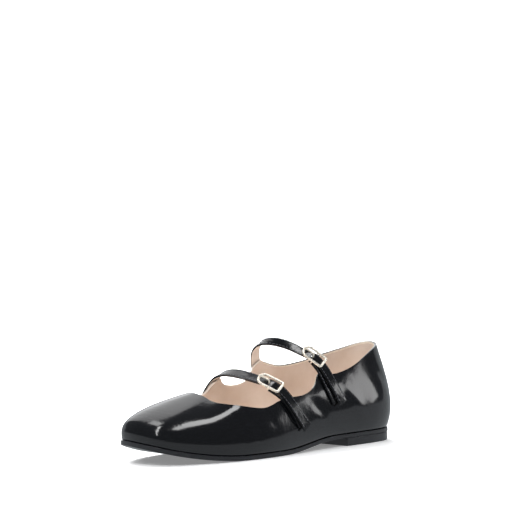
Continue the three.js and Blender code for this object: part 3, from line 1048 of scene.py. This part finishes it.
@dataclass
class Buckle:
    """A pale gold wire buckle: a frame with one round and one square end, a bar and a prong.

    Attributes:
        row: the strap that it closes.
        finishes: the shoe's materials.
        wire: radius of the frame's wire.
        bar: radius of the bar.
        bar_offset: from the frame's middle to the bar, towards the square end.
        prong: radius of the prong.
        round_corner: corner radius at the rounded end.
        square_corner: corner radius at the square end.
        arc_steps: how many steps each corner is drawn in.
    """

    row: Row
    finishes: Wardrobe
    wire: float = 0.95 * MM
    bar: float = 0.6 * MM
    bar_offset: float = 1.1 * MM
    prong: float = 0.66 * MM
    round_corner: float = 4.7 * MM
    square_corner: float = 1.5 * MM
    arc_steps: int = 8

    def build(self) -> list[Object]:
        """Builds the frame with its bar, and the prong.

        Returns:
            Both objects.
        """
        placing, length, width, top, bottom = self._read_placing()
        rise = top - self.wire
        bar_height = bottom + self.bar
        reach_x = length / 2 - self.wire
        reach_y = width / 2 - self.wire
        outline = self._outline(reach_x, reach_y, rise)
        metal = bmesh.new()
        for mesh in (
            tube("frame_wire", outline, self.wire, True),
            tube("bar_wire", self._bar_line(reach_y, bar_height, rise), self.bar, False),
        ):
            metal.from_mesh(mesh)
        metal.transform(placing)
        which = self.row.value
        gold = [self.finishes.gold]
        frame_piece = place(f"buckle_{which}_frame", to_mesh(metal, "buckle_metal"), gold)
        prong_mesh = tube("prong_wire", self._prong_line(reach_x, bar_height, top), self.prong, False)
        prong_mesh.transform(placing)
        prong_piece = place(f"prong_{which}_pin", prong_mesh, gold)
        ride_and_replace(frame_piece, f"buckle_{which}")
        ride_and_replace(prong_piece, f"prong_{which}")
        return [frame_piece, prong_piece]

    def _read_placing(self) -> tuple[Matrix, float, float, float, float]:
        """Finds the buckle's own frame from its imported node.

        Returns:
            The placing, with x towards the tail, y across and z away from the foot; then the frame's
            length and width, its top and the bar's underside, in that frame.
        """
        bm = Shell(f"buckle_{self.row.value}").load().bm
        flat: dict[tuple, float] = {}
        for face in bm.faces:
            key = tuple(round(value, 2) for value in face.normal)
            flat[key] = flat.get(key, 0.0) + face.calc_area()
        middle = sum((vert.co for vert in bm.verts), Vector()) / len(bm.verts)
        away = middle - Vector((middle.x, 0.0, 0.0))
        widest = sorted(flat, key=lambda key: -flat[key])[:2]
        rough_up = Vector(max(widest, key=lambda key: Vector(key).dot(away))).normalized()
        level = [face for face in bm.faces if face.normal.dot(rough_up) > NEARLY_PARALLEL]
        up = max(level, key=lambda face: face.calc_area()).normal.copy()
        rim = [v.co for v in bm.verts if any(f.normal.dot(up) > PARALLEL for f in v.link_faces)]
        centre = sum(rim, Vector()) / len(rim)
        side = up.orthogonal().normalized()
        other = up.cross(side)
        xx = sum((co - centre).dot(side) ** 2 for co in rim)
        yy = sum((co - centre).dot(other) ** 2 for co in rim)
        xy = sum((co - centre).dot(side) * (co - centre).dot(other) for co in rim)
        turn = 0.5 * math.atan2(2 * xy, xx - yy)
        along = side * math.cos(turn) + other * math.sin(turn)
        if along.z > 0:
            along.negate()
        across = up.cross(along)
        origin = centre.copy()
        sizes = []
        for axis in (along, across):
            spread = [(co - centre).dot(axis) for co in rim]
            origin += axis * (max(spread) + min(spread)) / 2
            sizes.append(max(spread) - min(spread))
        depths = [(vert.co - origin).dot(up) for vert in bm.verts]
        placing = Matrix((along, across, up)).transposed().to_4x4()
        placing.translation = origin
        bm.free()
        return placing, *sizes, max(depths), min(depths)

    def _outline(self, reach_x: float, reach_y: float, height: float) -> list[Vector]:
        """Draws the middle line of the frame's wire, round end towards the instep.

        Args:
            reach_x: from the frame's middle to the line's ends.
            reach_y: from the frame's middle to the line's sides.
            height: the line's height.

        Returns:
            The line's points.
        """
        corners = (
            (reach_x, reach_y, self.square_corner, 0),
            (-reach_x, reach_y, self.round_corner, 1),
            (-reach_x, -reach_y, self.round_corner, 2),
            (reach_x, -reach_y, self.square_corner, 3),
        )
        line = []
        for x, y, radius, quarter in corners:
            centre = Vector((x - math.copysign(radius, x), y - math.copysign(radius, y), height))
            for step in range(self.arc_steps + 1):
                angle = (quarter + step / self.arc_steps) * math.pi / 2
                line.append(centre + Vector((math.cos(angle), math.sin(angle), 0.0)) * radius)
        return line

    def _bar_line(self, reach_y: float, low: float, high: float) -> list[Vector]:
        """Draws the bar, which hangs from one side of the frame to the other, under the strap.

        Args:
            reach_y: from the frame's middle to its sides.
            low: the bar's height.
            high: the frame's height.

        Returns:
            The bar's points.
        """
        bend = 0.9 * MM
        control = [
            Vector((self.bar_offset, -reach_y, high)),
            Vector((self.bar_offset, -reach_y, low + bend)),
            Vector((self.bar_offset, -reach_y + bend, low)),
            Vector((self.bar_offset, 0.0, low)),
            Vector((self.bar_offset, reach_y - bend, low)),
            Vector((self.bar_offset, reach_y, low + bend)),
            Vector((self.bar_offset, reach_y, high)),
        ]
        return smooth_line(control, per_span=5)

    def _prong_line(self, reach_x: float, low: float, top: float) -> list[Vector]:
        """Draws the prong, which rises from the bar through the strap and rests on the rounded end.

        Args:
            reach_x: from the frame's middle to its ends.
            low: the bar's height.
            top: the frame's upper side.

        Returns:
            The prong's points.
        """
        over = top + self.prong * 0.8
        control = [
            Vector((self.bar_offset + 0.2 * MM, 0.0, low)),
            Vector((self.bar_offset - 1.1 * MM, 0.0, low + 0.9 * MM)),
            Vector((self.bar_offset - 1.9 * MM, 0.0, over - 0.7 * MM)),
            Vector((self.bar_offset - 3.2 * MM, 0.0, over + 0.15 * MM)),
            Vector((-0.7 * reach_x, 0.0, over + 0.1 * MM)),
            Vector((-reach_x - 0.9 * MM, 0.0, over - 0.1 * MM)),
        ]
        return smooth_line(control, per_span=6)


# ---- sole, heel and sock


@dataclass
class Slab:
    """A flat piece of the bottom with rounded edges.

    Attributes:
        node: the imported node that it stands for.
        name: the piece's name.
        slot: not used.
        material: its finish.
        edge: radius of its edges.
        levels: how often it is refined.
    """

    node: str
    name: str
    slot: str
    material: Material
    edge: float
    levels: int = 2

    def build(self) -> Object:
        """Builds and dresses the slab.

        Returns:
            Its object.
        """
        shell = Shell(self.node).load()
        round_edges(shell.bm, shell.sharp_edges(), self.edge)
        mesh = subdivided(to_mesh(shell.bm, self.name), self.levels)
        piece = place(self.name, mesh, [self.material])
        ride_and_replace(piece, self.node)
        return piece


# ---- studio


@dataclass(frozen=True)
class Softbox:
    """An area light that looks at the shoe.

    Attributes:
        position: where it stands, in metres.
        size: its width and height.
        watts: its power.
        target: the point that it looks at.
        mirrored: whether the patent mirrors it; a flagged-off light only brightens.
        spin: how far it is turned about its own axis, in degrees.
    """

    name: str
    position: tuple[float, float, float]
    size: tuple[float, float]
    watts: float
    target: tuple[float, float, float] = (0.0, 0.0, 0.03)
    mirrored: bool = True
    spin: float = 0.0

    def build(self) -> Object:
        """Makes the light, which no camera sees.

        Returns:
            The light's object.
        """
        lamp = bpy.data.lights.new(self.name, "AREA")
        lamp.shape = "RECTANGLE"
        lamp.size, lamp.size_y = self.size
        lamp.energy = self.watts
        light = bpy.data.objects.new(self.name, lamp)
        light.visible_glossy = self.mirrored
        light.visible_camera = False
        light.location = self.position
        turn = (Vector(self.target) - light.location).to_track_quat("-Z", "Y").to_matrix()
        light.rotation_euler = (turn @ Matrix.Rotation(math.radians(self.spin), 3, "Z")).to_euler()
        bpy.context.scene.collection.objects.link(light)
        return light


@dataclass
class Studio:
    """A white paper sweep, soft boxes and the camera.

    Attributes:
        azimuth: the camera's direction from the shoe, in degrees from +Y towards +X.
        elevation: how far it looks down.
        roll: how far it is turned about its own axis.
        raise_aim: how far its middle points above the shoe.
        turn_aim: how far its middle points to the side.
        distance: from the camera to the point that it looks at.
        lens: its focal length in millimetres, on a full frame.
        look_at: that point.
        boxes: the lights.
        room_tint: the colour of the room's own light.
        room_glow: its strength.
    """

    azimuth: float = 43.0
    elevation: float = 5.0
    roll: float = 1.0
    raise_aim: float = 4.72
    turn_aim: float = 0.17
    distance: float = 1.4
    lens: float = 131.4
    look_at: tuple[float, float, float] = (2.9 * MM, 0.0, 30 * MM)
    room_tint: tuple[float, float, float, float] = (0.85, 0.9, 1.0, 1.0)
    room_glow: float = 0.16
    boxes: tuple[Softbox, ...] = (
        Softbox("overhead", (-0.5, -1.0, 0.9), (1.1, 0.6), 38.0, mirrored=False),
        Softbox("front_fill", (0.75, 0.95, 0.95), (0.7, 0.5), 8.0, mirrored=False),
        Softbox("wall_wash", (0.0, -0.7, 1.6), (2.0, 0.4), 22.0, (0.0, -1.9, 0.5), False),
        Softbox("vamp_strip", (-0.27, 0.3, 1.2), (0.62, 0.2), 2.7, (0.08, 0.03, 0.03), spin=-14.0),
        Softbox("heel_card", (-0.41, 0.258, 0.127), (0.074, 0.18), 0.148, (-0.075, 0.03, 0.045), spin=27.0),
        Softbox("toe_card", (0.6, 0.0, 0.82), (0.1, 1.15), 4.0, (0.1, 0.0, 0.03), spin=20.0),
        Softbox("strap_card", (0.02, -0.5, 1.2), (0.3, 0.3), 1.1),
        Softbox("back_card", (-0.5, -1.0, 0.95), (1.0, 1.1), 4.5),
    )

    def build(self) -> None:
        """Sets up the paper, the lights, the world and the camera."""
        self._paper()
        for box in self.boxes:
            box.build()
        self._world()
        self._camera()
        bpy.context.scene.view_settings.view_transform = "Standard"

    def _paper(self) -> None:
        """Lays a floor that curves up into a low wall behind the shoe."""
        bm = bmesh.new()
        half_width = 3.2
        front, back = -0.9, 1.5
        cove = 0.35
        wall = 0.75
        start = [bm.verts.new((side * half_width, front, 0.0)) for side in (-1, 1)]
        edge = bm.edges.new(start)
        step = bmesh.ops.extrude_edge_only(bm, edges=[edge])["geom"]
        moved = [g for g in step if isinstance(g, BMVert)]
        bmesh.ops.translate(bm, verts=moved, vec=(0.0, back - front, 0.0))
        drawn = [g for g in step if isinstance(g, BMEdge)]
        rear = [edge for edge in drawn if all(vert.co.y > back - MM for vert in edge.verts)]
        turned = bmesh.ops.spin(
            bm, geom=rear, cent=(0.0, back, cove), axis=(1.0, 0.0, 0.0), angle=math.pi / 2, steps=16
        )["geom_last"]
        top = [g for g in turned if isinstance(g, BMEdge)]
        step = bmesh.ops.extrude_edge_only(bm, edges=top)["geom"]
        moved = [g for g in step if isinstance(g, BMVert)]
        bmesh.ops.translate(bm, verts=moved, vec=(0.0, 0.0, wall))
        facing = Matrix.Rotation(math.radians(180 - self.azimuth), 3, "Z")
        bmesh.ops.rotate(bm, verts=bm.verts, cent=(0.0, 0.0, 0.0), matrix=facing)
        bmesh.ops.remove_doubles(bm, verts=bm.verts, dist=MERGE_DISTANCE)
        bmesh.ops.recalc_face_normals(bm, faces=bm.faces)
        floor = place("paper_sweep", to_mesh(bm, "paper"), [StudioPaper().build()])

    def _world(self) -> None:
        """Fills the room with a dim, even light."""
        world = bpy.data.worlds.new("studio")
        world.use_nodes = True
        tree = world.node_tree
        tree.nodes.clear()
        glow = add_node(tree, "Background", {"Color": self.room_tint, "Strength": self.room_glow})
        output = add_node(tree, "OutputWorld")
        tree.links.new(glow.outputs[0], output.inputs["Surface"])
        bpy.context.scene.world = world

    def _camera(self) -> None:
        """Looks at the shoe from its outer front, low over the floor."""
        lens = bpy.data.cameras.new("camera")
        lens.lens = self.lens
        lens.sensor_width = 36.0
        camera = bpy.data.objects.new("camera", lens)
        a, e = math.radians(self.azimuth), math.radians(self.elevation)
        back = Vector((math.sin(a) * math.cos(e), math.cos(a) * math.cos(e), math.sin(e)))
        camera.location = Vector(self.look_at) + back * self.distance
        face = (-back).to_track_quat("-Z", "Y").to_matrix()
        aim = Euler((math.radians(self.raise_aim), math.radians(self.turn_aim), 0.0)).to_matrix()
        roll = Matrix.Rotation(math.radians(-self.roll), 3, "Z")
        camera.rotation_euler = (face @ roll @ aim).to_euler()
        bpy.context.scene.collection.objects.link(camera)
        bpy.context.scene.camera = camera


# ---- the shoe


@dataclass
class MaryJane:
    """The whole shoe, piece by piece.

    Attributes:
        finishes: its materials.
        seam_start: how far from a strap's end its stitches start, as a share of its length.
        anchor_seam_end: how far along an anchor its stitches run, before they reach the bar.
    """

    finishes: Wardrobe
    seam_start: float = 0.02
    anchor_seam_end: float = 0.8

    def build(self) -> None:
        """Builds every piece and reports it."""
        finishes = self.finishes
        slabs = (
            Slab("outsole", "outsole_rubber", "outsole", finishes.rubber, 0.55 * MM),
            Slab("heel_block", "heel_block_rubber", "outsole", finishes.rubber, 0.45 * MM),
            Slab("insole", "sock_insole", "lining", finishes.sock, 0.9 * MM),
        )
        for slab in slabs:
            self._report(slab.build())
        covered = []
        for row in Row:
            which = row.value
            strap = Band(f"strap_{which}", finishes, finishes.lining)
            anchor = Band(f"anchor_{which}", finishes, finishes.strap_patent, edge=0.3 * MM)
            self._report(strap.build())
            self._report(anchor.build())
            covered.extend(rung.at(0.5) for rung in strap.rungs)
            seams = Stitching(f"stitches_{which}", finishes)
            for side in (0, 1):
                seams.sew(strap.seam(side, self.seam_start, 1 - self.seam_start))
                seams.sew(anchor.seam(side, self.seam_start, self.anchor_seam_end))
            self._report(seams.finish())
            for piece in Buckle(row, finishes).build():
                self._report(piece)
        self._report(Upper(finishes, covered).build())

    @staticmethod
    def _report(piece: Object) -> None:
        """Logs a finished piece."""
        LOG.info("%s: %d faces", piece.name, len(piece.data.polygons))


def main() -> None:
    """Builds the studio and the shoe."""
    logging.basicConfig(level=logging.INFO, format="%(name)s: %(message)s")
    Studio().build()
    MaryJane(Wardrobe.build()).build()


if __name__ == "__main__":
    main()
